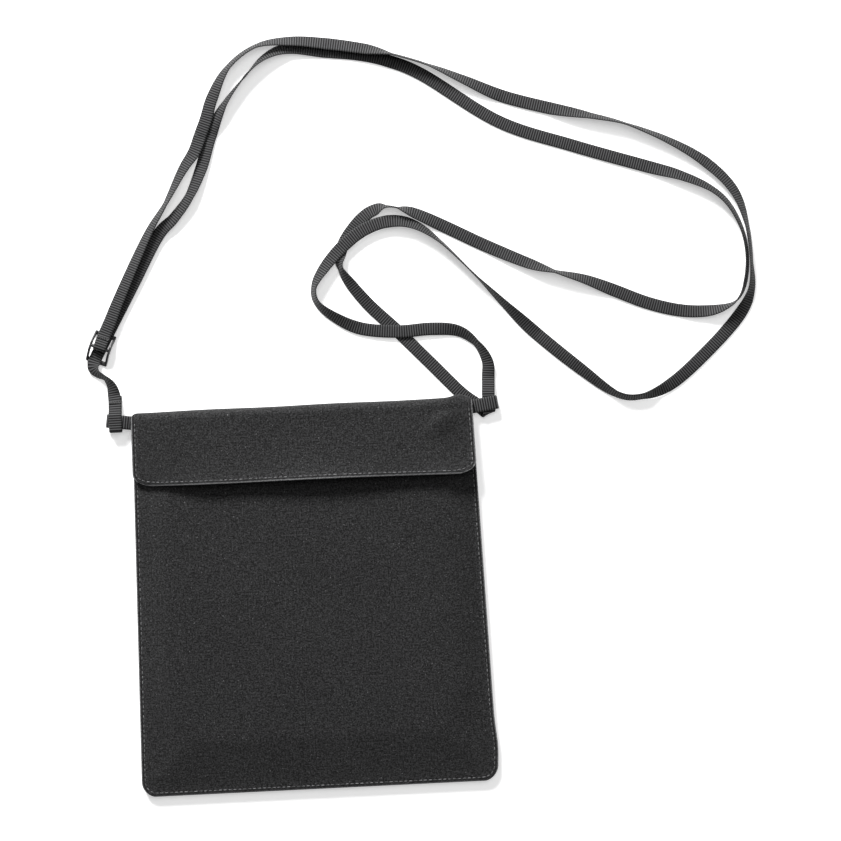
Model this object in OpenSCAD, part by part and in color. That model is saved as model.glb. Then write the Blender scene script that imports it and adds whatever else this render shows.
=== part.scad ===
// Neck pouch wallet: a flat fabric pouch with a fold-over flap, hung from one
// long narrow webbing strap that a three-bar slider shortens or lengthens.
// The pouch lies on its back: X across, Y up the wearer's chest, Z out of the front.

/* [Pouch] */
// Width of the pouch across its top edge
top_w = 153; // [140:1:165]
// Width of the pouch across its bottom edge
bottom_w = 161; // [150:1:175]
// Height of the pouch from bottom edge to top fold
body_h = 173; // [165:1:185]
// Radius of the two bottom corners
corner_r = 7; // [4:1:12]
// Thickness of the outer canvas
canvas_t = 0.6; // [0.4:0.1:0.8]
// Thickness of the lining cloth
lining_t = 0.4; // [0.3:0.1:0.5]
// Height of the seam between front and back above the table
seam_z = 3; // [2.5:0.1:3.2]
// Height of the outer face of the front panel in the middle
front_z = 7.1; // [7:0.1:7.3]

/* [Flap] */
// Height of the flap from the top fold to its lower edge
flap_h = 33.5; // [28:0.5:45]
// Radius of the two lower corners of the flap
flap_r = 6.5; // [3:0.5:12]
// Height of the outer face of the closed flap
flap_z = 9.4; // [9.3:0.1:10]
// Length of the hook and loop tapes
tape_w = 100; // [60:5:110]
// Width of the hook and loop tapes
tape_h = 16; // [12:1:18]

/* [Strap] */
// Width of the strap webbing
strap_w = 5.8; // [5:0.2:6.4]
// Thickness of the strap webbing
strap_t = 0.8; // [0.6:0.1:0.9]
// Length that each side tab stands out of the seam
tab_reach = 12; // [11:0.5:14]
// Turn of each tab from square, outer end up
tab_turn = 8; // [0:1:12]

/* [Slider] */
// Length of the slider along the strap
slider_l = 14.4; // [13:0.2:16]
// Width of the opening between the slider's rails
slider_gap = 7.9; // [7.6:0.1:9]
// Thickness of each side rail
rail_w = 1; // [0.8:0.1:1.4]

/* [Hidden] */

canvas = [0.19, 0.19, 0.19];
cloth = [0.13, 0.13, 0.13];
webbing = [0.24, 0.24, 0.24];
thread = [0.33, 0.33, 0.33];
plastic = [0.08, 0.08, 0.08];

ply_gap = 0.1;                          // air between two plies of one wall
skin = 0.01;                            // thickness of the slices that hulls join
past = 1;                               // how far a cutter runs past what it cuts
half_h = body_h / 2;
fold_depth = 4;                         // how deep the bend over the top edge is
fold_y = half_h - fold_depth;           // where the flat panels end and the bend begins
mouth_y = half_h - 7;                   // top edge of the front panel
flap_y = half_h - flap_h;               // lower edge of the flap
lining_inset = 4;                       // linings stop this far inside the seam
rise = seam_z;                          // climb of the back panel from table to seam
front_low = seam_z + ply_gap;           // underside of the front panel at the seam
flap_low = flap_z - 2;                  // outer face of the flap at its side edges
stitch_in = 1.6;                        // distance of a stitch row from an edge
thread_d = 0.5;
thread_up = 0.25;                       // height that a stitch stands proud
back_top = canvas_t + ply_gap + lining_t;
pocket_t = 0.3;
tape_y = flap_y + 4;                    // lower edge of both tapes
tape_t = 0.4;
hook_t = 0.5;
hem_h = 5;
hem_t = 0.5;
arc_steps = 4;

// ---- outlines ---------------------------------------------------------------

function half_width(y) =
    top_w / 2 + (bottom_w - top_w) / 2 * (half_h - y) / body_h;

function arc(cx, cy, r, from) =
    [for (i = [0 : arc_steps])
        [cx + r * cos(from + 90 * i / arc_steps), cy + r * sin(from + 90 * i / arc_steps)]];

// Outline between two heights of the pouch, moved in by side at left and right,
// with corner radii low_r and high_r
function outline(low, high, side, low_r, high_r) =
    let (low_x = half_width(low + low_r) - side - low_r)
    let (high_x = half_width(high - high_r) - side - high_r)
    concat(
        arc(-low_x, low + low_r, low_r, 180),
        arc(low_x, low + low_r, low_r, 270),
        arc(high_x, high - high_r, high_r, 0),
        arc(-high_x, high - high_r, high_r, 90));

module slice(points, z) {
    translate([0, 0, z]) linear_extrude(skin) polygon(points);
}

module prism(points, low, high) {
    translate([0, 0, low]) linear_extrude(high - low) polygon(points);
}

// Solid between one outline at a low height and another at a high height
module frustum(low_points, low, high_points, high) {
    hull() {
        slice(low_points, low);
        slice(high_points, high - skin);
    }
}

// The back bows down to the table and lifts at its rounded upper corners
module back_form(lift, over) {
    translate([0, 0, lift])
        frustum(outline(-half_h + 10, fold_y + over, 10, 10, 26), 0,
            outline(-half_h, fold_y + over, 0, corner_r, 1.5), rise);
}

// The front bows up from the seam to a flat middle and is open at the mouth
module front_form(lift, over) {
    translate([0, 0, lift])
        frustum(outline(-half_h, mouth_y + over, 0, corner_r, 1), front_low,
            outline(-half_h + 12, mouth_y + over, 12, 16, 1), front_z);
}

// The closed flap slopes only at its two sides
module flap_form(lift, over) {
    translate([0, 0, lift])
        frustum(outline(flap_y - over, fold_y + over, 0, flap_r, 1), flap_low,
            outline(flap_y - over, fold_y + over, 14, flap_r, 1), flap_z);
}

module inside_seam(low, inset) {
    prism(outline(low, fold_y + past, inset, corner_r, 1), -past, flap_z + past);
}

// ---- pouch ------------------------------------------------------------------

module back_panel() {
    color(canvas) difference() {
        back_form(0, 0);
        back_form(canvas_t, past);
    }
}

module back_lining() {
    color(cloth) intersection() {
        difference() {
            back_form(canvas_t + ply_gap, 0);
            back_form(back_top, past);
        }
        inside_seam(-half_h + lining_inset, lining_inset);
    }
}

module slip_pocket() {
    color(cloth)
        prism(outline(-half_h + 14, 20, 15, corner_r, 1),
            back_top + ply_gap, back_top + ply_gap + pocket_t);
}

module slip_pocket_hem() {
    color(cloth)
        prism(outline(20, 24, 15, 1, 1),
            back_top + ply_gap, back_top + ply_gap + pocket_t);
}

module front_panel() {
    color(canvas) difference() {
        front_form(0, 0);
        front_form(-canvas_t, past);
    }
}

module front_lining() {
    color(cloth) intersection() {
        difference() {
            front_form(-canvas_t - ply_gap, 0);
            front_form(-canvas_t - ply_gap - lining_t, past);
        }
        inside_seam(-half_h + lining_inset, lining_inset);
    }
}

// Turned edge of the front panel: a strip on its face and a lip over its edge
module mouth_hem() {
    hem_x = half_width(mouth_y) - 14;
    lip_low = front_z - canvas_t - ply_gap - lining_t;
    color(canvas) union() {
        translate([-hem_x, mouth_y - hem_h, front_z])
            cube([2 * hem_x, hem_h + hem_t, hem_t]);
        translate([-hem_x, mouth_y, lip_low])
            cube([2 * hem_x, hem_t, front_z - lip_low]);
    }
}

module mouth_stitching() {
    stitch_x = half_width(mouth_y) - 15;
    color(thread) translate([-stitch_x, mouth_y - hem_h + 1, front_z + hem_t])
        cube([2 * stitch_x, thread_d, thread_up]);
}

module loop_tape() {
    color(cloth) translate([-tape_w / 2, tape_y, front_z])
        cube([tape_w, tape_h, tape_t]);
}

// One row of thread round both sides and the bottom of the front panel
module seam_stitching() {
    color(thread) intersection() {
        difference() {
            front_form(thread_up, 0);
            front_form(0, past);
        }
        difference() {
            inside_seam(-half_h + stitch_in, stitch_in);
            inside_seam(-half_h + stitch_in + thread_d, stitch_in + thread_d);
        }
    }
}

// ---- side tabs --------------------------------------------------------------

tab_root = half_width(fold_y);         // where a tab leaves the seam
tab_y = fold_y - 0.5;                  // middle of each tab
tab_w = strap_w + 0.4;
tab_t = 0.7;
tab_mid = 3;                            // middle height of the loop
tab_open = 1;                           // half of the gap inside the loop
tab_out = tab_open + tab_t;
tab_arc = tab_reach - tab_out;          // centre of the loop's outer bend
tongue = 3.6;                           // length sewn into the seam

// Side view of a tab: a tongue in the seam that opens into a flat loop
module tab_profile() {
    difference() {
        union() {
            polygon([[-tongue, tab_mid - tab_t], [0.5, tab_mid - tab_t],
                [3.5, tab_mid - tab_out], [tab_arc, tab_mid - tab_out],
                [tab_arc, tab_mid + tab_out], [3.5, tab_mid + tab_out],
                [0.5, tab_mid + tab_t], [-tongue, tab_mid + tab_t]]);
            translate([tab_arc, tab_mid]) circle(r = tab_out, $fn = 32);
        }
        polygon([[1.2, tab_mid], [3.8, tab_mid - tab_open],
            [tab_arc, tab_mid - tab_open], [tab_arc, tab_mid + tab_open],
            [3.8, tab_mid + tab_open]]);
        translate([tab_arc, tab_mid]) circle(r = tab_open, $fn = 32);
    }
}

module tab(side) {
    color(webbing) translate([side * tab_root, tab_y, 0])
        mirror([side < 0 ? 1 : 0, 0, 0])
            rotate([0, 0, tab_turn])
                rotate([90, 0, 0])
                    translate([0, 0, -tab_w / 2])
                        linear_extrude(tab_w) tab_profile();
}

module left_tab() {
    tab(-1);
}

module right_tab() {
    tab(1);
}

module tab_bartacks() {
    color(thread) for (side = [-1, 1])
        translate([side * tab_root, tab_y, 0])
            mirror([side < 0 ? 1 : 0, 0, 0])
                rotate([0, 0, tab_turn])
                    translate([-2.8, -1.7, tab_mid + tab_t])
                        cube([1.2, tab_w - 1.8, thread_up]);
}

// ---- strap ------------------------------------------------------------------

slider_x = -89.4;
slider_y = 116.5;
slider_turn = 22;                       // slider's length from +Y towards +X
bar_r = 0.7;
bar_z = 4.1;                            // centre of the middle bar
end_bar = 2;                            // length of each end bar along the strap
end_bar_t = 1.05;
table_gap = 0.12;                       // strap's clearance over the table
wrap_r = bar_r + 0.1 + strap_t / 2;     // strap's middle round the bar

// Rows of [x, y, twist, lift]. A twist of 0 or 180 lies flat, 90 stands on edge,
// and lift is the height over what the twist alone gives.
// From the end of the sewn length, round the neck and down to the right tab
outward_run = [
    [-40, 210, 0, 1.3], [-36.9, 217.4, 5, 1.3], [-33.5, 227, 15, 1.2],
    [-26, 240, 60, 0], [-13, 249, 65, 0],
    [3, 250.5, 35, 0.7], [20, 248.5, 15, 0.9], [36, 245.5, 25, 0.9],
    [48, 242.5, 75, 0.2], [64, 237, 75, 0], [80, 229.5, 40, 0], [97, 221.5, 0, 0],
    [118, 215, 5, 0], [136, 210.5, 55, 0], [152, 206, 75, 0], [172, 197, 50, 0],
    [188, 186.5, 25, 0], [199.5, 173.5, 35, 0], [204.3, 158, 65, 0],
    [205.6, 141, 70, 0], [204.8, 128, 50, 0], [198, 116, 0, 0],
    [182, 100, 0, 0], [167, 88, 15, 0], [154, 83, 65, 0], [142, 84.5, 65, 0],
    [126, 97, 25, 0], [108, 113, 0, 0], [95, 126, 55, 0], [82, 140, 90, 0],
    [66, 157, 105, 0], [54, 165.5, 140, 0.4], [43, 167.2, 175, 2.3],
    [32, 164, 180, 2.6], [22, 157, 180, 2.7], [13, 147.5, 150, 1.2],
    [8, 139, 115, 0], [9.5, 131.5, 115, 0], [18, 124.5, 145, 0], [29, 119.5, 175, 0.4],
    [45, 117.5, 180, 1.1]];

// From there into the loop of the right tab
entry_run = [
    [60, 118, 180, 0.9], [72, 116.5, 150, 0], [80, 110.5, 115, 0], [84.5, 102.5, 150, 0],
    [84.6, 95, 180, 0.5], [84.2, 88, 180, 2.75], [84.2, 84, 180, 2.83]];

// From under the right tab back round the neck to the slider
return_run = [
    [78, 83.7, 0, 0], [71.5, 89, 0, 0], [59, 102.5, 0, 0], [44, 118.5, 0, 0],
    [33, 129.5, 10, 0], [25, 139.5, 30, 0], [20.5, 147, 70, 0], [20.5, 153, 25, 0],
    [23, 159.5, 5, 0], [28, 166.2, 4, 0], [33, 170.8, 8, 0],
    [37.5, 173, 20, 0], [42, 174, 75, 0], [47, 173.3, 85, 0], [55, 170.5, 30, 0],
    [68, 164, 0, 0], [86, 154.5, 0, 0], [105, 145.5, 25, 0], [117, 141, 75, 0],
    [130, 137, 40, 0], [143, 131.5, 5, 0], [158, 125, 0, 0], [172, 121, 0, 0],
    [184, 120, 20, 0], [193, 121.5, 65, 0], [199, 125, 100, 0], [202.3, 132, 112, 0],
    [203.8, 143, 112, 0], [202.3, 155, 112, 0], [197, 167, 120, 0],
    [189, 175, 125, 0], [176, 181.5, 145, 0], [161, 186.5, 175, 0],
    [128, 197.5, 180, 0], [95, 210, 180, 0], [62, 232.5, 180, 0], [46, 240, 180, 0],
    [33, 243.5, 180, 0], [18, 245.5, 180, 0], [2, 247.5, 160, 0],
    [-9, 244, 125, 0], [-18, 236, 95, 0], [-28, 224, 120, 0]];

// Down beside the sewn length, through the slider and on to the left tab
lead_run = [
    [-35, 211, 178, 0], [-40, 196, 168, 0], [-46, 183, 140, 0], [-53.5, 173.5, 155, 0.3],
    [-61.5, 165.5, 180, 1.28], [-73.5, 144.5, 180, 1.28], [-85.5, 123.5, 180, 1.28],
    [-89.4, 116.5, 180, 1.28], [-92.4, 111, 180, 1.28], [-93, 107.7, 160, 1],
    [-91.3, 105, 125, 0], [-88, 103, 110, 0], [-85.3, 99.5, 140, 0.4],
    [-84.3, 95, 175, 1.5], [-84, 90, 180, 3.1], [-84, 86, 180, 4.73]];

// From inside the left tab up under the strap, to the end that is sewn to it
tail_run = [[-84, 86, 0, 2.93], [-84, 90, 0, 1.4], [-84, 94.5, 0, 0]];

// From the slider's middle bar up beside the strap
sewn_run = [
    [-84.6, 127.5, 5, 3.1], [-78.5, 141, 22, 1.8], [-66, 166, 45, 0.3],
    [-57, 180, 65, 0], [-48.5, 195, 35, 0.4], [-43.1, 202.6, 10, 1.2],
    [-40.12, 209.72, 0, 1.3]];

function unit(v) = v / norm(v);

function flat_heading(rows, i) =
    let (a = rows[max(i - 1, 0)])
    let (b = rows[min(i + 1, len(rows) - 1)])
    atan2(b[1] - a[1], b[0] - a[0]);

// Half the height that a strap of this twist takes over the table
function stand(twist) =
    strap_w / 2 * abs(sin(twist)) + strap_t / 2 * abs(cos(twist));

// A row halfway between rows k and k + 1, on a smooth curve through their neighbours
function halfway(rows, k) =
    let (far = rows[max(k - 1, 0)] + rows[min(k + 2, len(rows) - 1)])
    let (near = rows[k] + rows[k + 1])
    let (curved = (9 * near - far) / 16)
    [curved[0], curved[1], near[2] / 2, near[3] / 2];

function finer(rows) =
    [for (i = [0 : 2 * len(rows) - 2])
        i % 2 == 0 ? rows[i / 2] : halfway(rows, (i - 1) / 2)];

// Turns rows into stations: a middle point and the direction of the strap's width
function stations(rows) =
    [for (i = [0 : len(rows) - 1])
        let (h = flat_heading(rows, i))
        let (twist = rows[i][2])
        [[rows[i][0], rows[i][1], table_gap + stand(twist) + rows[i][3]],
            [cos(twist) * sin(h), -cos(twist) * cos(h), sin(twist)]]];

// Half turn of the strap from top to bottom round an edge, in heading along one
// way and out along another, so that it creases on the slant between them
function half_turn(centre, r, into, out, steps) =
    let (n_way = (into + out) / 2 - 90)
    let (n = [cos(n_way), sin(n_way), 0])
    let (c = [-sin(n_way), cos(n_way), 0])
    let (along_n = cos(into - n_way))
    let (along_c = cos(into - n_way - 90))
    [for (i = [0 : steps])
        let (turn = 180 * i / steps)
        [centre + r * (sin(turn) * n + [0, 0, cos(turn)])
                + c * r * along_c / along_n * turn * PI / 180,
            -along_n * c + along_c * (cos(turn) * n - [0, 0, sin(turn)])]];

// Widths keep one sense from station to station, so the strap never flips
function steady(list, i = 1) =
    i >= len(list) ? list :
    let (turned = list[i][1] * list[i - 1][1] < 0)
    let (fixed = turned ? [list[i][0], -list[i][1]] : list[i])
    steady([for (k = [0 : len(list) - 1]) k == i ? fixed : list[k]], i + 1);

function ring(list, i) =
    let (ahead = unit(list[min(i + 1, len(list) - 1)][0] - list[max(i - 1, 0)][0]))
    let (w = unit(list[i][1] - (list[i][1] * ahead) * ahead))
    let (t = cross(ahead, w))
    let (a = strap_w / 2)
    let (b = strap_t / 2)
    let (c = 0.2)
    [for (corner = [[a, c - b], [a, b - c], [a - c, b], [c - a, b],
            [-a, b - c], [-a, c - b], [c - a, -b], [a - c, -b]])
        list[i][0] + corner[0] * w + corner[1] * t];

// Closed tube of eight-cornered flat rings
module strap_tube(list) {
    sides = 8;
    last = len(list) - 1;
    points = [for (i = [0 : last]) each ring(list, i)];
    walls = [for (i = [0 : last - 1]) for (k = [0 : sides - 1])
        let (n = (k + 1) % sides)
        each [[i * sides + k, i * sides + n, (i + 1) * sides + n],
            [i * sides + k, (i + 1) * sides + n, (i + 1) * sides + k]]];
    ends = [[for (k = [sides - 1 : -1 : 0]) k], [for (k = [0 : sides - 1]) last * sides + k]];
    polyhedron(points, concat(walls, ends), convexity = 10);
}

function slider_point(along, z) =
    [slider_x + along * sin(slider_turn), slider_y + along * cos(slider_turn), z];

slider_heading = 90 - slider_turn;
slider_width_way = [sin(slider_heading), -cos(slider_heading), 0];

function slider_stations(list) =
    [for (p = list) [slider_point(p[0], p[1]), slider_width_way]];

// Round the middle bar from the tail beneath it to the strap above it
function bar_wrap(steps) =
    [for (i = [0 : steps])
        let (turn = 180 * i / steps)
        [slider_point(-wrap_r * sin(turn), bar_z - wrap_r * cos(turn)), slider_width_way]];

module neck_strap() {
    color(webbing) strap_tube(steady(concat(
        stations(finer(concat(outward_run, entry_run))),
        half_turn([84.2, 80.1, 2.1], 1.25, -90, 137, 8),
        stations(finer(concat(return_run, lead_run))),
        half_turn([-84, 79.2, 4.35], 0.9, -90, 90, 6),
        stations(finer(tail_run)))));
}

module strap_sewn_end() {
    color(webbing) strap_tube(steady(concat(
        slider_stations([[5.5, bar_z - wrap_r], [3, bar_z - wrap_r]]),
        bar_wrap(6),
        slider_stations([[3, bar_z + 0.7], [7, bar_z + 0.1]]),
        stations(finer(sewn_run)))));
}

module strap_tail_bartack() {
    color(thread) translate([-84, 91.5, 3.9]) rotate([-20, 0, 0])
        cube([strap_w - 1, 1, thread_up], center = true);
}

module sewn_end_bartack() {
    color(thread) translate(slider_point(4.6, bar_z + 1.15)) rotate([0, 0, -slider_turn])
        rotate([-8, 0, 0]) cube([strap_w - 1, 1, thread_up], center = true);
}

// ---- slider -----------------------------------------------------------------

// Side rail seen from the side: low at both ends, arched over the strap
module rail_profile() {
    half = slider_l / 2;
    polygon([[-half, 0.1], [-half + end_bar, 0.1], [-2.2, 2.6], [2.2, 2.6],
        [half - end_bar, 0.1], [half, 0.1], [half, 0.1 + end_bar_t],
        [2, bar_z + bar_r], [-2, bar_z + bar_r], [-half, 0.1 + end_bar_t]]);
}

module strap_slider() {
    half = slider_l / 2;
    rail_x = slider_gap / 2;
    color(plastic) translate([slider_x, slider_y, 0]) rotate([0, 0, -slider_turn]) union() {
        for (side = [-1, 1])
            translate([side * (rail_x + rail_w / 2) - rail_w / 2, 0, 0])
                rotate([90, 0, 90]) linear_extrude(rail_w) rail_profile();
        for (low = [-half, half - end_bar])
            translate([-rail_x, low, 0.1]) cube([2 * rail_x, end_bar, end_bar_t]);
        translate([-rail_x, 0, bar_z]) rotate([0, 90, 0])
            cylinder(r = bar_r, h = 2 * rail_x, $fn = 32);
    }
}

// ---- flap -------------------------------------------------------------------

// Half ellipse past the flat panels, seen from the side
function fold_side(deep, low, high, steps) =
    [for (i = [0 : steps])
        let (turn = -90 + 180 * i / steps)
        [fold_y + deep * cos(turn), (low + high) / 2 + (high - low) / 2 * sin(turn)]];

module fold_slice(x, deep, low, high) {
    translate([x, 0, 0]) rotate([90, 0, 90]) linear_extrude(skin)
        polygon(fold_side(deep, low, high, 10));
}

// The cloth that bends over the top edge, from the back panel to the flap
module flap_fold() {
    wide = half_width(fold_y) - 14;
    cap = half_width(fold_y) - tongue - 0.3;
    ply = canvas_t + ply_gap + lining_t;
    color(canvas) difference() {
        hull() for (side = [-1, 1]) {
            fold_slice(side * wide, fold_depth, 0, flap_z);
            fold_slice(side * cap, 1.2, seam_z - 0.4, flap_low);
        }
        translate([0, -skin, 0]) hull() for (side = [-1, 1]) {
            fold_slice(side * (wide - 2), fold_depth - ply, ply, flap_z - ply);
            fold_slice(side * (cap - 4), 0.8, seam_z + 0.4, flap_low - 0.4);
        }
    }
}

module flap_outer() {
    color(canvas) difference() {
        flap_form(0, 0);
        flap_form(-canvas_t, past);
    }
}

module flap_lining() {
    color(cloth) intersection() {
        difference() {
            flap_form(-canvas_t - ply_gap, 0);
            flap_form(-canvas_t - ply_gap - lining_t, past);
        }
        inside_seam(flap_y + 1, 3);
    }
}

// One row of thread round the flap's sides and lower edge
module flap_stitching() {
    color(thread) intersection() {
        difference() {
            flap_form(thread_up, 0);
            flap_form(0, past);
        }
        difference() {
            inside_seam(flap_y + stitch_in, stitch_in);
            inside_seam(flap_y + stitch_in + thread_d, stitch_in + thread_d);
        }
    }
}

module hook_tape() {
    under = flap_z - canvas_t - ply_gap - lining_t;
    color(cloth) translate([-tape_w / 2, tape_y, under - hook_t])
        cube([tape_w, tape_h, hook_t]);
}

back_panel();
back_lining();
slip_pocket();
slip_pocket_hem();
front_panel();
front_lining();
mouth_hem();
mouth_stitching();
loop_tape();
seam_stitching();
left_tab();
right_tab();
tab_bartacks();
neck_strap();
strap_tail_bartack();
flap_fold();
flap_outer();
flap_lining();
flap_stitching();
hook_tape();
strap_slider();
strap_sewn_end();
sewn_end_bartack();
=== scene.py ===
"""Looks of a neck pouch wallet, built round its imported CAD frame.

The pouch lies on its back: X across, Y towards the flap, Z out of the front.
Shapes are worked out in millimetres and put into meshes in metres.
"""

import math
from types import SimpleNamespace

import bpy
import numpy as np
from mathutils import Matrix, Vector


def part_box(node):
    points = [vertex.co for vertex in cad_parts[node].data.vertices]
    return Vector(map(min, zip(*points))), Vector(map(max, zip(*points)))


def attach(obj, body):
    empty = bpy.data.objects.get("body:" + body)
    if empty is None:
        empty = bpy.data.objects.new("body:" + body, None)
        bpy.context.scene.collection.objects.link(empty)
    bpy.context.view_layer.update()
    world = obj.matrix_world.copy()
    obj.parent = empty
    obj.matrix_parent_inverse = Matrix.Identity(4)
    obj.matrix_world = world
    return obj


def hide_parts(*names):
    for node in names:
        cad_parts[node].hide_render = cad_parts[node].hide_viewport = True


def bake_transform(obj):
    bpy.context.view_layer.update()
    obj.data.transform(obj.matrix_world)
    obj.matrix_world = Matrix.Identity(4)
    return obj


bl_info = {
    "name": "Neck Pouch Wallet",
    "version": (1, 0, 0),
    "blender": (4, 5, 0),
    "location": "3D View > Sidebar > Pouch",
    "description": "Builds the cloth, webbing, stitches and buckle of a neck pouch wallet",
    "category": "Object",
}

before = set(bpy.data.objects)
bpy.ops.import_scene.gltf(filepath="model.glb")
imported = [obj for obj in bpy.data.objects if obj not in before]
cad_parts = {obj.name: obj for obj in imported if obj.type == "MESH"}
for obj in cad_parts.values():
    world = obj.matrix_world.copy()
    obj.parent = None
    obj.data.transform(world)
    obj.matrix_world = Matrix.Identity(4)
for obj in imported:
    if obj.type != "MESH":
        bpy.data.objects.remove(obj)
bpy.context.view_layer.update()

MM = 0.001
CLOTH_GAP = 0.1       # between two cloths that lie together, in millimetres
TAPE_LENGTH, TAPE_WIDTH = 100, 16
TAPE_IN = 4           # from the flap's edge to its tape
LINING_IN = 6.0       # from the seam to a lining's side
LINING_UP = 8         # from the bottom edge to a lining's


def cad_span(node, axis):
    """Size of a CAD node along an axis, in metres."""
    low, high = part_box(node)
    return high[axis] - low[axis]


# ---- settings ---------------------------------------------------------------


def length(label, what, value, low, high):
    """Length in metres that a user would change."""
    return bpy.props.FloatProperty(name=label, description=what, default=value, min=low,
                                   max=high, unit="LENGTH")


def colour(label, what, value):
    """Base colour that a user would change."""
    return bpy.props.FloatVectorProperty(name=label, description=what, default=value,
                                         subtype="COLOR", size=3, min=0, max=1)


class PouchSizes(bpy.types.PropertyGroup):
    """Sizes of the pouch's cloth, webbing and thread."""

    top_width: length("Top width", "Width of the pouch across its top edge", 0.153, 0.1, 0.2)
    bottom_width: length("Bottom width", "Width of the pouch across its bottom edge",
                         cad_span("front_panel", 0), 0.1, 0.2)
    height: length("Height", "Height of the pouch from bottom edge to top fold",
                   0.173, 0.1, 0.25)
    canvas_thickness: length("Canvas thickness", "Thickness of the outer canvas",
                             0.0006, 0.0003, 0.001)
    front_height: length("Front height", "Height of the front panel's middle over the table",
                         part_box("front_panel")[1][2], 0.004, 0.02)
    flap_height: length("Flap height", "Height of the closed flap's middle over the table",
                        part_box("flap_outer")[1][2], 0.005, 0.025)
    flap_lift: length("Flap lift", "How far the flap's lower edge stands up from the front",
                      0.0036, 0, 0.006)
    strap_width: length("Strap width", "Width of the strap webbing", 0.0058, 0.004, 0.008)
    strap_thickness: length("Strap thickness", "Thickness of the strap webbing",
                            0.0008, 0.0004, 0.0015)
    rib_pitch: length("Rib pitch", "Distance from rib to rib along the webbing",
                      0.0011, 0.0006, 0.002)
    stitch_pitch: length("Stitch pitch", "Distance from stitch to stitch",
                         0.0022, 0.0015, 0.005)


class PouchColours(bpy.types.PropertyGroup):
    """Base colours of the pouch's finishes."""

    canvas: colour("Canvas", "Outer cloth", (0.0152, 0.0152, 0.0156))
    lining: colour("Lining", "Lining cloth", (0.012, 0.012, 0.0125))
    webbing: colour("Webbing", "Strap and tabs", (0.025, 0.025, 0.0258))
    thread: colour("Thread", "Stitches", (0.21, 0.21, 0.214))
    tape: colour("Tape", "Hook and loop tapes", (0.014, 0.014, 0.0145))
    plastic: colour("Plastic", "Strap buckle", (0.016, 0.016, 0.017))
    floor: colour("Floor", "Table under the pouch", (0.87, 0.87, 0.87))


def measures():
    """Sizes in millimetres, with those that follow from them."""
    s = bpy.context.scene.pouch_sizes
    m = SimpleNamespace(
        top=s.top_width / MM, bottom=s.bottom_width / MM, height=s.height / MM,
        canvas=s.canvas_thickness / MM, front=s.front_height / MM, flap=s.flap_height / MM,
        lift=s.flap_lift / MM, strap_w=s.strap_width / MM, strap_t=s.strap_thickness / MM,
        rib=s.rib_pitch / MM, stitch=s.stitch_pitch / MM)
    m.half_h = m.height / 2
    m.fold = m.half_h - 4
    m.mouth = m.half_h - 7
    m.flap_edge = m.half_h - 33.5
    m.seam = 3.0
    m.corner = 7.0
    m.lining = 0.4
    m.stitch_in = 1.6
    return m


# ---- arithmetic on arrays ---------------------------------------------------


def smooth(t):
    """S-shaped climb from 0 to 1: three t squared less two t cubed, t held to 0..1."""
    t = np.clip(t, 0, 1)
    return t * t * (3 - 2 * t)


def rounded(t):
    """Quarter circle climb from 0 to 1: root of one less the square of (1 - t)."""
    return np.sqrt(np.maximum(1 - (1 - np.clip(t, 0, 1)) ** 2, 0))


def bell(t):
    """Bump of height 1 at 0: e to the minus t squared."""
    return np.exp(-t * t)


def unit(v):
    """Vectors divided by their lengths."""
    return v / np.maximum(np.linalg.norm(v, axis=-1, keepdims=True), 1e-12)


def steps_with_close_ends(length, step, left=True, right=True):
    """Positions from 0 to length, about a step apart, closer at the ends that are asked for."""
    close = np.array([0, 0.1, 0.25, 0.45, 0.7, 1.0, 1.4, 1.9, 2.5])
    low = close if left else np.array([0.0])
    high = length - close[::-1] if right else np.array([length])
    count = max(int((high[0] - low[-1]) / step), 1)
    middle = np.linspace(low[-1], high[0], count + 1)[1:-1]
    return np.concatenate([low, middle, high])


def along(path):
    """Distance along a path to each of its points."""
    return np.concatenate([[0], np.cumsum(np.linalg.norm(np.diff(path, axis=0), axis=1))])


def resampled(values, at, wanted):
    """Columns of values, known at some distances, read at others on straight lines."""
    return np.stack([np.interp(wanted, at, column) for column in values.T], axis=1)


def softened(values, width):
    """Each value's average with its neighbours within width places, ends held."""
    if width < 1:
        return values
    padded = np.concatenate([np.repeat(values[:1], width, 0), values,
                             np.repeat(values[-1:], width, 0)])
    total = np.concatenate([np.zeros((1, values.shape[1])), np.cumsum(padded, 0)])
    mean = (total[2 * width + 1:] - total[:-2 * width - 1]) / (2 * width + 1)
    mean[0], mean[-1] = values[0], values[-1]
    return mean


# ---- meshes -----------------------------------------------------------------


def new_piece(name, points, faces, uv):
    """Mesh object from points and UV in millimetres, smooth, with its place in its mesh."""
    mesh = bpy.data.meshes.new(name)
    mesh.from_pydata((points * MM).tolist(), [], [list(f) for f in faces])
    layer = mesh.uv_layers.new(name="cloth")
    corner = np.zeros(len(mesh.loops), np.int32)
    mesh.loops.foreach_get("vertex_index", corner)
    layer.data.foreach_set("uv", uv[corner].astype(np.float32).ravel())
    mesh.polygons.foreach_set("use_smooth", np.ones(len(mesh.polygons), bool))
    mesh.update()
    piece = bpy.data.objects.new(name, mesh)
    bpy.context.scene.collection.objects.link(piece)
    return piece


def grid_faces(n, m, first=0, turned=False):
    """Quads of an n by m grid whose point (i, j) is number first + i * m + j."""
    i, j = np.meshgrid(np.arange(n - 1), np.arange(m - 1), indexing="ij")
    a = (first + i * m + j).ravel()
    quads = np.stack([a, a + m, a + m + 1, a + 1], axis=1)
    return quads[:, ::-1] if turned else quads


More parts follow.
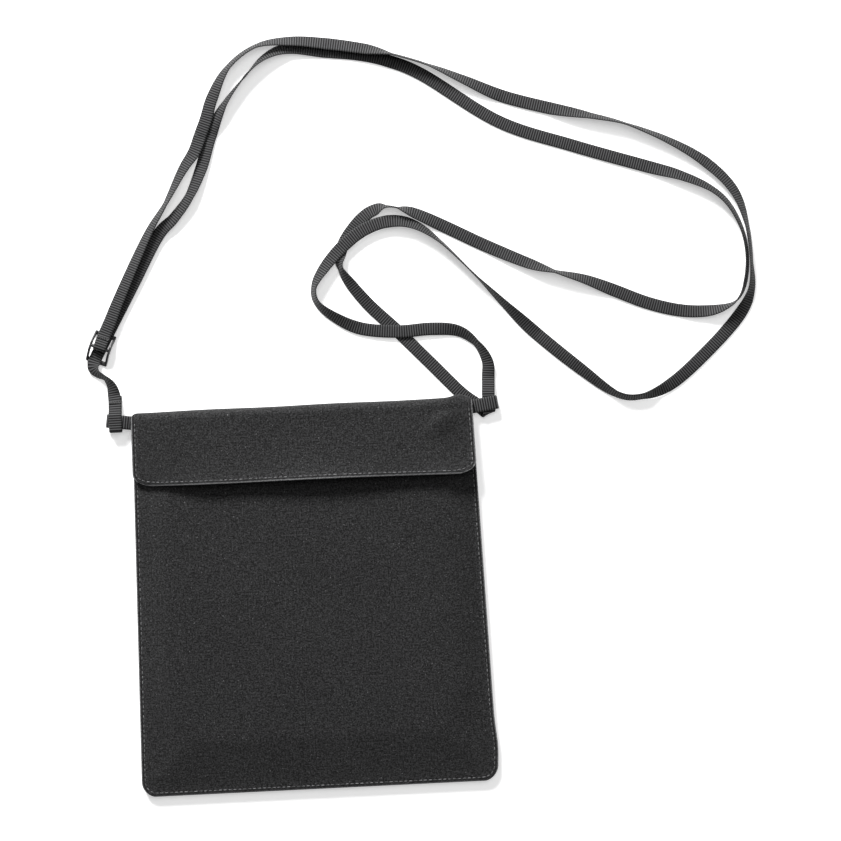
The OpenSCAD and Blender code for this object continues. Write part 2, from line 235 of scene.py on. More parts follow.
def rim_faces(n, m, second):
    """Quads that join the rims of a grid and of its copy that starts at number second."""
    i = np.concatenate([np.arange(n), np.full(m - 1, n - 1), np.arange(n - 2, -1, -1),
                        np.zeros(m - 1, int)])
    j = np.concatenate([np.zeros(n, int), np.arange(1, m), np.full(n - 1, m - 1),
                        np.arange(m - 2, -1, -1)])
    a = i * m + j
    return np.stack([a[:-1], a[:-1] + second, a[1:] + second, a[1:]], axis=1)


def cloth(name, middle, thickness, us, vs, lips=(True, True, True, True)):
    """Closed cloth about a middle surface: points (i, j) moved half the thickness both ways
    along the normal, which is the cross product of the grid's two directions. The
    thickness follows a quarter circle at the rims that are lips: left, right, low, high.
    The distance to the nearest lip is kept with each point as "rim"."""
    n, m = middle.shape[:2]
    du, dv = np.gradient(middle, axis=0), np.gradient(middle, axis=1)
    normal = unit(np.cross(du, dv))
    far = np.full((n, m), 1e3)
    gaps = [(us - us[0])[:, None], (us[-1] - us)[:, None],
            (vs - vs[0])[None, :], (vs[-1] - vs)[None, :]]
    for lip, gap in zip(lips, gaps):
        if lip:
            far = np.minimum(far, gap)
    half = thickness / 2 * np.maximum(rounded(far / (0.75 * thickness)), 0.15)
    offset = normal * half[..., None]
    points = np.concatenate([(middle + offset).reshape(-1, 3), (middle - offset).reshape(-1, 3)])
    u, v = np.meshgrid(us, vs, indexing="ij")
    uv = np.tile(np.stack([u.ravel(), v.ravel()], axis=1), (2, 1))
    rim = rim_faces(n, m, n * m)
    faces = np.concatenate([grid_faces(n, m), grid_faces(n, m, n * m, True), rim])
    piece = new_piece(name, points, faces, uv)
    soft = np.arange(len(faces)) < len(faces) - len(rim)
    piece.data.polygons.foreach_set("use_smooth", soft)
    store = piece.data.attributes.new("rim", "FLOAT", "POINT")
    store.data.foreach_set("value", np.tile(far.ravel(), 2).astype(np.float32))
    return piece


def tube(rings, u, v):
    """Closed tube through rings of points (n, sides, 3), wound anticlockwise seen from
    ahead, each cap a fan round the mean of its ring."""
    n, sides = rings.shape[:2]
    i, k = np.meshgrid(np.arange(n - 1), np.arange(sides), indexing="ij")
    a, b = (i * sides + k).ravel(), (i * sides + (k + 1) % sides).ravel()
    faces = np.stack([a, b, b + sides, a + sides], axis=1).tolist()
    points = rings.reshape(-1, 3)
    uv = np.stack([u.ravel(), v.ravel()], axis=1)
    start, end = len(points), len(points) + 1
    points = np.concatenate([points, rings[[0, -1]].mean(1)])
    uv = np.concatenate([uv, [[0, v[0, 0]], [0, v[-1, 0]]]])
    k = np.arange(sides)
    n1 = (k + 1) % sides
    last = (n - 1) * sides
    faces += np.stack([n1, k, np.full(sides, start)], axis=1).tolist()
    faces += np.stack([last + k, last + n1, np.full(sides, end)], axis=1).tolist()
    return points, faces, uv


def ribbon(name, middle, width_way, m, width, thickness, ribs_per_pitch=5):
    """Ribbed webbing along a path: a flat twelve-point section, its half thickness
    two thirds plus one third of |sin| of the distance over the rib pitch, carried along
    the path with its width held square to it."""
    distance = along(middle)
    step = m.rib / ribs_per_pitch
    wanted = np.linspace(0, distance[-1], int(distance[-1] / step) + 1)
    path = softened(resampled(middle, distance, wanted), 3)
    way = softened(resampled(width_way, distance, wanted), 4)
    ahead = unit(np.gradient(path, axis=0))
    way = unit(way - (way * ahead).sum(1, keepdims=True) * ahead)
    up = np.cross(ahead, way)
    rib = np.abs(np.sin(np.pi * wanted / m.rib)) ** 0.7
    half_w = width / 2 * (0.985 + 0.015 * rib)
    half_t = thickness / 2 * (0.62 + 0.38 * rib)
    side = np.array([1, 0.95, 0.7, 0, -0.7, -0.95, -1, -0.95, -0.7, 0, 0.7, 0.95])
    thick = np.array([0, 0.72, 1, 0.94, 1, 0.72, 0, -0.72, -1, -0.94, -1, -0.72])
    rings = (path[:, None] + half_w[:, None, None] * side[None, :, None] * way[:, None]
             + half_t[:, None, None] * thick[None, :, None] * up[:, None])
    u = half_w[:, None] * side[None]
    v = np.repeat(wanted[:, None], len(side), axis=1)
    return new_piece(name, *tube(rings, u, v)), path


def stitches(name, centres, ahead, up, length, radius):
    """Short fat threads: a spindle whose radius falls as a root of cosine towards both
    ends, copied to each centre along its own direction."""
    turn = np.radians([-72, -40, 0, 40, 72])
    round_ = np.radians(np.arange(0, 360, 60))
    side = np.cross(ahead, up)
    reach = length / 2 * np.sin(turn)
    spread = radius * np.cos(turn) ** 0.5
    lengthwise = np.concatenate([np.repeat(reach, 6), [-length / 2, length / 2]])
    sideways = np.concatenate([np.outer(spread, np.cos(round_)).ravel(), [0, 0]])
    upwards = np.concatenate([np.outer(spread, np.sin(round_)).ravel(), [0, 0]])
    points = (centres[:, None] + lengthwise[None, :, None] * ahead[:, None]
              + sideways[None, :, None] * side[:, None] + upwards[None, :, None] * up[:, None])
    i, k = np.meshgrid(np.arange(4), np.arange(6), indexing="ij")
    a, b = (i * 6 + k).ravel(), (i * 6 + (k + 1) % 6).ravel()
    quads = np.stack([a, a + 6, b + 6, b], axis=1)
    k = np.arange(6)
    fans = np.concatenate([np.stack([k, (k + 1) % 6, np.full(6, 30)], axis=1),
                           np.stack([24 + (k + 1) % 6, 24 + k, np.full(6, 31)], axis=1)])
    first = np.arange(len(centres))[:, None, None] * 32
    faces = ((quads[None] + first).reshape(-1, 4).tolist()
             + (fans[None] + first).reshape(-1, 3).tolist())
    turned = np.concatenate([np.tile(round_ * radius, 5), [0, 0]])
    uv = np.stack([np.tile(turned, len(centres)),
                   (lengthwise[None] + 3 * np.arange(len(centres))[:, None]).ravel()], axis=1)
    return new_piece(name, points.reshape(-1, 3), faces, uv)


def stitch_row(name, path, m, radius=0.2, share=0.66):
    """Stitches a pitch apart along a path, each rising a little from its surface."""
    distance = along(path)
    count = int(distance[-1] / m.stitch)
    at = (np.arange(count) + 0.5) * distance[-1] / count
    centres = resampled(path, distance, at)
    ahead = unit(resampled(path, distance, at + 0.4) - resampled(path, distance, at - 0.4))
    side = unit(np.cross(ahead, [[0, 0, 1.0]]))
    return stitches(name, centres, ahead, np.cross(side, ahead), m.stitch * share, radius)


def bartack(name, centre, ahead, side, width, count=10, length=1.2):
    """Threads side by side across a strap, slanting one way and then the other."""
    offset = (np.arange(count) / (count - 1) - 0.5)[:, None] * width
    lean = np.where(np.arange(count) % 2, 0.35, -0.35)[:, None]
    way = unit(ahead + lean * side)
    up = np.repeat(np.cross(side, ahead)[None], count, 0)
    up = unit(up - (up * way).sum(1, keepdims=True) * way)
    return stitches(name, centre + offset * side, way, up, length, width / count * 0.62)


# ---- finishes ---------------------------------------------------------------


class Value:
    """A number socket that takes part in arithmetic by adding Math nodes."""

    def __init__(self, finish, socket):
        self.finish = finish
        self.socket = socket

    def _with(self, operation, *others):
        node = self.finish.node("ShaderNodeMath", {"operation": operation},
                                dict(enumerate([self, *others])))
        return Value(self.finish, node.outputs[0])

    def __add__(self, other):
        return self._with("ADD", other)

    def __sub__(self, other):
        return self._with("SUBTRACT", other)

    def __mul__(self, other):
        return self._with("MULTIPLY", other)

    def __rsub__(self, other):
        return (self * -1) + other

    __radd__ = __add__
    __rmul__ = __mul__

    def sine(self):
        """Sine of the number."""
        return self._with("SINE")

    def size(self):
        """The number without its sign."""
        return self._with("ABSOLUTE")

    def largest(self, other):
        """The larger of two numbers."""
        return self._with("MAXIMUM", other)


def tint(colour):
    """A colour as a node takes it: a link as it is, three numbers with full cover."""
    return colour if isinstance(colour, bpy.types.NodeSocket) else (*colour, 1)


class Finish:
    """A material being built: one way to add any node, and short names for common ones."""

    def __init__(self, name):
        self.material = bpy.data.materials.new(name)
        self.material.use_nodes = True
        self.tree = self.material.node_tree
        self.tree.nodes.clear()

    def node(self, kind, settings=None, sockets=None):
        """Adds a node: its settings first, then values or links by socket name or number."""
        node = self.tree.nodes.new(kind)
        for key, value in (settings or {}).items():
            setattr(node, key, value)
        for key, value in (sockets or {}).items():
            if isinstance(value, Value):
                self.tree.links.new(value.socket, node.inputs[key])
            elif isinstance(value, bpy.types.NodeSocket):
                self.tree.links.new(value, node.inputs[key])
            else:
                node.inputs[key].default_value = value
        return node

    def uv(self):
        """The piece's own cloth coordinates in millimetres: vector, across, along."""
        vector = self.node("ShaderNodeUVMap", {"uv_map": "cloth"}).outputs[0]
        split = self.node("ShaderNodeSeparateXYZ", None, {0: vector})
        return vector, Value(self, split.outputs[0]), Value(self, split.outputs[1])

    def stretched(self, vector, across, lengthwise):
        """Coordinates scaled apart across and along."""
        scale = self.node("ShaderNodeVectorMath", {"operation": "MULTIPLY"},
                          {0: vector, 1: (across, lengthwise, 1)})
        return scale.outputs[0]

    def noise(self, vector, scale, detail=2.0, roughness=0.5):
        """Smooth noise from 0 to 1."""
        node = self.node("ShaderNodeTexNoise", {"noise_dimensions": "3D"},
                         {"Vector": vector, "Scale": scale, "Detail": detail,
                          "Roughness": roughness})
        return Value(self, node.outputs[0])

    def climb(self, value, low, high, start=0.0, end=1.0):
        """Smooth climb from start to end as value goes from low to high."""
        node = self.node("ShaderNodeMapRange", {"interpolation_type": "SMOOTHSTEP"},
                         {"Value": value, "From Min": low, "From Max": high,
                          "To Min": start, "To Max": end})
        return Value(self, node.outputs[0])

    def shade(self, colour, amount):
        """Colour times a number that varies over the surface."""
        grey = self.node("ShaderNodeCombineXYZ", None, {0: amount, 1: amount, 2: amount})
        node = self.node("ShaderNodeMix", {"data_type": "RGBA", "blend_type": "MULTIPLY"},
                         {0: 1.0, 6: tint(colour), 7: grey.outputs[0]})
        return node.outputs[2]

    def blend(self, amount, first, second):
        """First colour where the amount is 0, second where it is 1."""
        node = self.node("ShaderNodeMix", {"data_type": "RGBA"},
                         {0: amount, 6: tint(first), 7: tint(second)})
        return node.outputs[2]

    def surface(self, colour, roughness, height=None, depth=0.1, **constants):
        """Principled surface; height, in 0..1, is a bump this many millimetres deep."""
        sockets = {"Base Color": colour, "Roughness": roughness, **constants}
        if height is not None:
            bump = self.node("ShaderNodeBump", None,
                             {"Strength": 1.0, "Distance": depth * MM, "Height": height})
            sockets["Normal"] = bump.outputs[0]
        shader = self.node("ShaderNodeBsdfPrincipled", None, sockets)
        self.node("ShaderNodeOutputMaterial", None, {0: shader.outputs[0]})
        return self.material


TURN = 2 * math.pi


def colours():
    """The colours a user would change."""
    return bpy.context.scene.pouch_colours


def woven(name, base, pitch, fleck, edge, depth, contrast):
    """Plain weave: threads both ways that pass over and under each other, uneven threads,
    a mottled grain, light flecks, slow changes of tone, a pale edge that is a painted
    highlight and a dark line beside it that is painted shade in the stitched groove."""
    f = Finish(name)
    vector, across, lengthwise = f.uv()
    wander = f.noise(vector, 0.5, 1.0) * 0.8
    warp = ((across + wander) * (TURN / pitch)).sine()
    weft = ((lengthwise + wander) * (TURN / pitch)).sine()
    weave = warp * weft * 0.5 + 0.5
    slub_x = f.climb(f.noise(f.stretched(vector, 0.22, 1.5), 1.0, 2.0), 0.3, 0.7)
    slub_y = f.climb(f.noise(f.stretched(vector, 1.5, 0.22), 1.0, 2.0), 0.3, 0.7)
    grain = f.climb(f.noise(vector, 0.8, 3.0, 0.75), 0.32, 0.68)
    fine = f.climb(f.noise(vector, 1.5, 1.0, 0.7), 0.32, 0.68)
    mottle = weave * 0.2 + slub_x * 0.22 + slub_y * 0.22 + grain * 0.5 + fine * 0.7
    flecks = f.climb(f.noise(vector, 1.2, 1.0, 0.6), 0.68, 0.78)
    cloudy = f.noise(vector, 0.03, 3.0)
    rim = Value(f, f.node("ShaderNodeAttribute", {"attribute_name": "rim"}).outputs["Fac"])
    # painted highlight: paler cloth along the edge, where the rounded lip catches light
    rubbing_and_edge_light = f.climb(rim, 0.25, 0.7, 1.0, 0.0)
    # painted shade: a dark line in the groove by the stitches near the edge
    groove_shade = f.climb(rim, 0.6, 0.9) * f.climb(rim, 1.05, 1.4, 1.0, 0.0)
    seam = f.climb(rim, 1.5, 4.5, 0.3, 0.0)
    level = mottle * (seam + contrast) + cloudy * 0.5 + (0.75 - 0.92 * contrast)
    tone = level.largest(0.12) * (groove_shade * -0.6 + 1)
    # the pale edge colour blended in here is a painted highlight
    edge_lit_colour = f.blend(rubbing_and_edge_light * (fine * 0.6 + 0.4), f.shade(base, tone), edge)
    colour = f.blend(flecks * 0.8, edge_lit_colour, fleck)
    height = weave * 0.35 + grain * 0.3 + fine * 0.3
    rough = f.climb(grain, 0.0, 1.0, 0.86, 0.97)
    return f.surface(colour, rough, height, depth, **{
        "Sheen Weight": 0.08, "Sheen Roughness": 0.5, "Specular IOR Level": 0.2})


def canvas_finish():
    """Dark canvas with pale flecks and paler edges, their pale colour a painted highlight."""
    return woven("canvas", colours().canvas, 0.62, (0.13, 0.13, 0.133),
                 (0.22, 0.22, 0.224), 0.2, 2.4)


def lining_finish():
    """Finer, smoother weave for the inside."""
    return woven("lining", colours().lining, 0.42, (0.03, 0.03, 0.031),
                 (0.03, 0.03, 0.031), 0.08, 0.9)


def webbing_finish():
    """Ribbed narrow webbing: painted shade between the ribs and a painted highlight along their
    crowns.
    """
    f = Finish("webbing")
    m = measures()
    vector, across, lengthwise = f.uv()
    rib = (lengthwise * (math.pi / m.rib)).sine().size()
    strands = (across * (TURN / 0.42)).sine() * 0.5 + 0.5
    fibre = f.noise(f.stretched(vector, 5.0, 1.2), 1.0, 3.0, 0.6)
    cloudy = f.noise(vector, 0.12, 2.0)
    # painted light and shade: rib crowns paler and the gaps between them darker
    painted_rib_light = f.climb(rib, 0.6, 1.0)
    tone = painted_rib_light * (fibre * 1.8 + 1.5) + strands * 0.1 + cloudy * 0.4 - 0.2
    flecks = f.climb(f.noise(vector, 2.9, 1.0, 0.6), 0.68, 0.8)
    colour = f.blend(flecks * 0.5, f.shade(colours().webbing, tone), (0.14, 0.14, 0.143))
    height = strands * 0.4 + fibre * 0.6
    rough = f.climb(fibre, 0.2, 0.8, 0.62, 0.85)
    return f.surface(colour, rough, height, 0.1, **{
        "Sheen Weight": 0.08, "Sheen Roughness": 0.4, "Specular IOR Level": 0.25})


def thread_finish(name, strength):
    """Twisted thread: plies that wind round each stitch on the slant."""
    f = Finish(name)
    vector, across, lengthwise = f.uv()
    ply = ((across * 1.4 + lengthwise * 1.0) * (TURN / 0.5)).sine() * 0.5 + 0.5
    fluff = f.noise(vector, 4.0, 2.0)
    uneven = f.climb(f.noise(vector, 0.4, 1.0), 0.35, 0.65)
    colour = f.shade(colours().thread, (ply * 0.6 + fluff * 0.8) * (uneven + 0.25) * strength)
    return f.surface(colour, f.climb(fluff, 0.3, 0.7, 0.55, 0.75), ply, 0.08,
                     **{"Sheen Weight": 0.1, "Specular IOR Level": 0.4})


def tape_finish(name, pitch):
    """Hook or loop tape: a nap of fine bumps on a knitted ground."""
    f = Finish(name)
    vector, across, lengthwise = f.uv()
    nap = f.noise(vector, 3.2, 4.0, 0.75)
    knit = ((across * (TURN / pitch)).sine() * (lengthwise * (TURN / pitch)).sine()) * 0.5 + 0.5
    colour = f.shade(colours().tape, nap * 1.2 + knit * 0.4 + 0.2)
    return f.surface(colour, f.climb(nap, 0.3, 0.7, 0.7, 0.95), nap * 0.7 + knit * 0.3, 0.35,
                     **{"Sheen Weight": 0.25, "Sheen Roughness": 0.4})


def plastic_finish():
    """Moulded black plastic: fine spark texture, rubbed smoother in patches."""
    f = Finish("plastic")
    vector = f.uv()[0]
    spark = f.noise(vector, 5.0, 3.0, 0.6)
    rubbing_and_edge_light = f.noise(vector, 0.6, 2.0)
    colour = f.shade(colours().plastic, rubbing_and_edge_light * 0.6 + 0.7)
    return f.surface(colour, f.climb(rubbing_and_edge_light, 0.3, 0.7, 0.28, 0.46), spark, 0.02,
                     **{"Specular IOR Level": 0.5})


FINISHES = {}


def finish_of(slot):
    """The material for a slot of the record, made the first time it is asked for."""
    makers = {
        "canvas": canvas_finish, "binding": canvas_finish, "lining": lining_finish,
        "webbing": webbing_finish, "plastic": plastic_finish,
        "thread": lambda: thread_finish("thread", 1.0),
        "dark_thread": lambda: thread_finish("dark_thread", 0.3),
        "loop_tape": lambda: tape_finish("loop_tape", 0.9),
        "hook_tape": lambda: tape_finish("hook_tape", 1.6),
    }
    if slot not in FINISHES:
        FINISHES[slot] = makers[slot]()
    return FINISHES[slot]


def dress(piece, slot, *nodes, body=None):
    """Gives a piece its finish, hides the CAD nodes it stands for and puts it on the body it
    rides on.
    """
    piece.data.materials.append(finish_of(slot))
    if nodes:
        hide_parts(*nodes)
    if body:
        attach(piece, body)
    return piece


# ---- the pouch's surfaces ---------------------------------------------------


def half_width(m, y):
    """Half the pouch's width at a height: straight from top to bottom."""
    return m.top / 2 + (m.bottom - m.top) / 2 * (m.half_h - y) / m.height


def slack(y):
    """The right side's slight outward bow near the bottom corner."""
    return 0.8 * bell((y + 71) / 9)


def body_x(m, u, y):
    """Across place for u from -1 to 1: half width less the corner's circle, times u."""
    below = np.clip((m.corner - (y + m.half_h)) / m.corner, 0, 1)
    cut = m.corner * (1 - np.sqrt(1 - below ** 2))
    return u * (half_width(m, y) - cut) + np.maximum(u, 0) * slack(y)


def edge_gap(m, x, y):
    """Distance in from the sewn edge: that to a box with round corners, open at the top."""
    half = half_width(m, y) + np.where(x > 0, slack(y), 0)
    out_x = np.abs(x) - (half - m.corner)
    out_y = -y - (m.half_h - m.corner)
    corner = np.hypot(np.maximum(out_x, 0), np.maximum(out_y, 0))
    return m.corner - corner - np.minimum(np.maximum(out_x, out_y), 0)


def ripple(x, y):
    """Slow unevenness of soft cloth, from five slanting waves, within about 1 either way."""
    return (0.32 * np.sin(x / 17 + y / 41 + 0.6) + 0.26 * np.sin(x / 29 - y / 19 + 2.1)
            + 0.2 * np.sin(x / 11 + y / 13 + 4.0) + 0.14 * np.sin(x / 7.3 - y / 31 + 1.2)
            + 0.12 * np.sin(x / 37 + y / 8.1 + 5.2))


def pucker(m, x, y, gap):
    """Small waves that the stitches draw into the cloth, dying out in from the edge."""
    beside = np.where(m.half_h + y < half_width(m, y) - np.abs(x), x, y)
    wave = np.sin(beside * TURN / (2 * m.stitch)) + 0.6 * np.sin(beside / 2.9 + 1)
    return 0.11 * wave * bell((gap - 2.8) / 1.9)


def front_surface(m, x, y):
    """Height of the front's outer face: round the pressed edge, dip at the stitches,
    then an S-shaped climb to the middle, longer near the bottom, with ripples."""
    gap = edge_gap(m, x, y)
    reach = 15 + 14 * smooth((-y - 40) / 32)
    pressed = 0.75 * rounded(gap / 0.8) - 0.2 * bell((gap - m.stitch_in) / 0.4)
    climb = smooth((gap - 1.4) / reach) ** 0.85
    full = m.front - m.seam - 0.05 - 0.75
    return (m.seam + 0.05 + pressed + full * climb + 0.22 * climb * ripple(x, y)
            + pucker(m, x, y, gap))


def back_surface(m, x, y):
    """Depth of the back's outer face: the front's edge turned over, down to the table."""
    gap = edge_gap(m, x, y)
    pressed = 0.75 * rounded(gap / 0.8)
    climb = smooth((gap - 1.4) / 12)
    return m.seam - 0.05 - pressed - (m.seam - 0.85) * climb


def flap_x(m, u, y):
    """Across place on the flap for u from -1 to 1, its lower corners part of an ellipse."""
    wide, high = 10.0, 5.5
    below = np.clip((high - (y - flap_low_edge(m, u * m.top / 2))) / high, 0, 1)
    return u * (half_width(m, y) - wide * (1 - np.sqrt(np.maximum(1 - below ** 2, 0))))


def flap_low_edge(m, x):
    """The flap's lower edge, which runs down a little to the right and waves."""
    return m.flap_edge - 0.006 * x + 0.22 * np.sin(x / 21 + 0.8)


def flap_surface(m, x, y):
    """Height of the flap's outer face: flat, drooping at its sides, lifted along its
    lower edge except at the left corner, with a slanting crease at the top right."""
    side = half_width(m, y) - np.abs(x)
    droop = 1.7 * (1 - smooth(side / 17))
    down = np.maximum(y - flap_low_edge(m, x), 0)
    lifted = m.lift * smooth((x + 66) / 26) * (1 + 0.25 * np.sin(x / 13 + 1))
    edge = (lifted - 1.1 * bell((x + 74) / 9)) * np.exp(-down / 8)
    slant = (x - 62.5) * 0.62 - (y - 77.5) * 0.78
    run = (x - 62.5) * 0.78 + (y - 77.5) * 0.62
    crease = 1.9 * bell(slant / np.where(slant < 0, 2.0, 6.0)) * bell(run / 7)
    gap = np.minimum(side, down)
    press = -0.45 * (1 - rounded(gap / 0.7)) - 0.24 * bell((gap - m.stitch_in) / 0.42)
    tug = 0.07 * np.sin(x * TURN / (2 * m.stitch)) * bell((gap - 2.8) / 1.6)
    fade = smooth((m.fold - y) / 4)
    return (m.flap - 0.1 - droop + edge * smooth((m.fold - y) / 12) + crease * fade
            + 0.2 * fade * ripple(x * 1.1 + 40, y * 1.3) + press + tug)


def panel_grid(m, low, high, step, low_lip, high_lip):
    """Grid of a panel between two heights: shares across and heights, with close rims."""
    us = steps_with_close_ends(m.bottom, step)
    vs = steps_with_close_ends(high - low, step, low_lip, high_lip) + low
    return us - m.bottom / 2, vs


def lay(m, across, surface, us, vs, offset):
    """Points of a sheet: across(u, y) gives x and surface(x, y) plus an offset gives z."""
    u, y = np.meshgrid(us / us[-1], vs, indexing="ij")
    x = across(m, u, y)
    return np.stack([x, y, surface(m, x, y) + offset], axis=2)


def inset_x(inset):
    """Across rule for a lining that stops this far inside the edge."""
    def across(m, u, y):
        return body_x(m, u, y) - np.sign(u) * np.abs(u) * inset
    return across


def build_front(m):
    """The front cloth, half a thickness under the front's outer face."""
    us, vs = panel_grid(m, -m.half_h, m.mouth, 1.25, True, True)
    middle = lay(m, body_x, front_surface, us, vs, -m.canvas / 2)
    piece = cloth("front_cloth", middle, m.canvas, us, vs)
    dress(piece, "canvas", "front_panel", body="pouch")


def build_back(m):
    """The back cloth, half a thickness inside the back's outer face."""
    us, vs = panel_grid(m, -m.half_h, m.fold, 1.6, True, False)
    u_reversed = lay(m, body_x, back_surface, us, vs, m.canvas / 2)[::-1]
    piece = cloth("back_cloth", u_reversed, m.canvas, us, vs, (True, True, True, False))
    dress(piece, "canvas", "back_panel", body="pouch")


def build_linings(m):
    """Front and back linings, each a small gap inside its cloth."""
    for name, surface, offset, low, high, inset in (
            ("front_lining_cloth", front_surface, -m.canvas - CLOTH_GAP - m.lining / 2,
             -m.half_h + LINING_UP, m.mouth - 0.4, LINING_IN),
            ("back_lining_cloth", back_surface, m.canvas + 0.12 + m.lining / 2,
             -m.half_h + LINING_UP, m.fold - 0.5, LINING_IN)):
        us, vs = panel_grid(m, low, high, 2.2, True, True)
        middle = lay(m, inset_x(inset), surface, us, vs, offset)
        piece = cloth(name, middle, m.lining, us, vs)
        dress(piece, "lining", name.replace("_cloth", ""), body="pouch")


def build_slip_pocket(m):
    """A low inner pocket for cards on the back lining, with a hem along its mouth."""
    base = m.canvas + 0.12 + m.lining + 0.1
    for name, low, high, thick in (("slip_pocket_cloth", -m.half_h + 14, 19.9, 0.3),
                                   ("slip_pocket_hem_cloth", 20.0, 24.0, 0.42)):
        us, vs = panel_grid(m, low, high, 2.2 if high < 20 else 1.6, True, True)
        middle = lay(m, inset_x(15.0), back_surface, us, vs, base + thick / 2)
        piece = cloth(name, middle, thick, us, vs)
        dress(piece, "lining", name.replace("_cloth", ""), body="pouch")


def build_mouth_hem(m):
    """A turned hem: up the front's face, round its top edge and down inside."""
    profile = np.array([[-4.7, 0.06], [-4.6, 0.3], [-4.0, 0.36], [-2.0, 0.34], [-0.4, 0.34],
                        [0.1, 0.28], [0.4, 0.0], [0.48, -0.5], [0.3, -1.0], [-0.1, -1.32],
                        [-1.0, -1.36], [-2.5, -1.36]])
    distance = along(profile)
    vs = np.linspace(0, distance[-1], 34)
    profile = softened(resampled(profile, distance, vs), 1)
    reach = half_width(m, m.mouth) - 14
    us = steps_with_close_ends(2 * reach, 1.2) - reach
    x, dy = np.meshgrid(us, profile[:, 0], indexing="ij")
    level = front_surface(m, x, np.minimum(m.mouth + dy, m.mouth))
    middle = np.stack([x, m.mouth + dy, level + profile[None, :, 1]], axis=2)
    dress(cloth("mouth_hem_cloth", middle, 0.24, us, vs), "canvas", "mouth_hem", body="pouch")
    x = np.linspace(-reach + 1, reach - 1, 300)
    y = np.full_like(x, m.mouth - 3.4)
    path = np.stack([x, y, front_surface(m, x, y) + 0.52], axis=1)
    dress(stitch_row("mouth_stitches", path, m), "thread", "mouth_stitching", body="pouch")


def build_flap(m):
    """The flap's cloth and, a small gap under it, its lining, set in from the edge."""
    us = steps_with_close_ends(m.top, 1.1) - m.top / 2
    vs = steps_with_close_ends(m.fold - m.flap_edge, 0.9)
    share = vs / vs[-1]
    u, s = np.meshgrid(us / us[-1], share, indexing="ij")
    low = flap_low_edge(m, u * m.top / 2)
    y = low + (m.fold - low) * s
    x = flap_x(m, u, y)
    middle = np.stack([x, y, flap_surface(m, x, y) - m.canvas / 2], axis=2)
    piece = cloth("flap_cloth", middle, m.canvas, us, vs + m.flap_edge,
                  (True, True, True, False))
    dress(piece, "canvas", "flap_outer", body="flap")
    x, y = x * (1 - 0.9 / half_width(m, y)), y + 1.0 * (1 - s)
    middle = np.stack([x, y, flap_surface(m, x, y) - m.canvas - 0.3], axis=2)
    piece = cloth("flap_lining_cloth", middle, m.lining, us, vs)
    dress(piece, "lining", "flap_lining", body="flap")
    build_flap_stitches(m)


def build_flap_stitches(m):
    """A row down one side, along the lower edge with its slanting corners, and up again."""
    u = np.concatenate([np.full(60, -1.0), np.linspace(-1, 1, 500), np.full(60, 1.0)])
    s = np.concatenate([np.linspace(1, 0, 60), np.zeros(500), np.linspace(0, 1, 60)])
    low = flap_low_edge(m, u * m.top / 2)
    y = low + (m.fold - 0.5 - low) * s
    x = flap_x(m, u, y)
    path = np.stack([x, y], axis=1)
    distance = along(path)
    path = softened(resampled(path, distance, np.linspace(0, distance[-1], 700)), 5)
    ahead = unit(np.gradient(path, axis=0))
    inward = np.stack([-ahead[:, 1], ahead[:, 0]], axis=1)
    x, y = (path + m.stitch_in * inward).T
    row = np.stack([x, y, flap_surface(m, x, y) + 0.1], axis=1)
    dress(stitch_row("flap_stitches", row, m), "thread", "flap_stitching", body="flap")


def build_fold(m):
    """Cloth over the top edge: half an ellipse from the back's face to the flap's, its
    depth falling to a round corner at each side and standing out near the right one."""
    us = steps_with_close_ends(m.top, 1.1) - m.top / 2
    turn = np.radians(np.concatenate([[-90, -89], np.linspace(-85, 85, 25), [89, 90]]))
    u, angle = np.meshgrid(us / us[-1], turn, indexing="ij")
    x = u * half_width(m, m.fold)
    low = back_surface(m, x, np.full_like(x, m.fold)) + m.canvas / 2
    high = flap_surface(m, x, np.full_like(x, m.fold)) - m.canvas / 2
    side = half_width(m, m.fold) - np.abs(x)
    depth = (3.7 * (0.35 + 0.65 * rounded(side / 2.5)) + 1.2 * bell((x - 70.5) / 3.5)
             + 0.12 * np.sin(x / 9))
    middle = np.stack([x, m.fold + depth * np.cos(angle),
                       low + (high - low) * (1 + np.sin(angle)) / 2], axis=2)
    distance = (turn - turn[0]) / np.pi * 13.4
    piece = cloth("fold_cloth", middle[::-1][:, ::-1], m.canvas, us,
                  m.fold + distance, (True, True, False, False))
    dress(piece, "canvas", "flap_fold")
    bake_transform(piece)


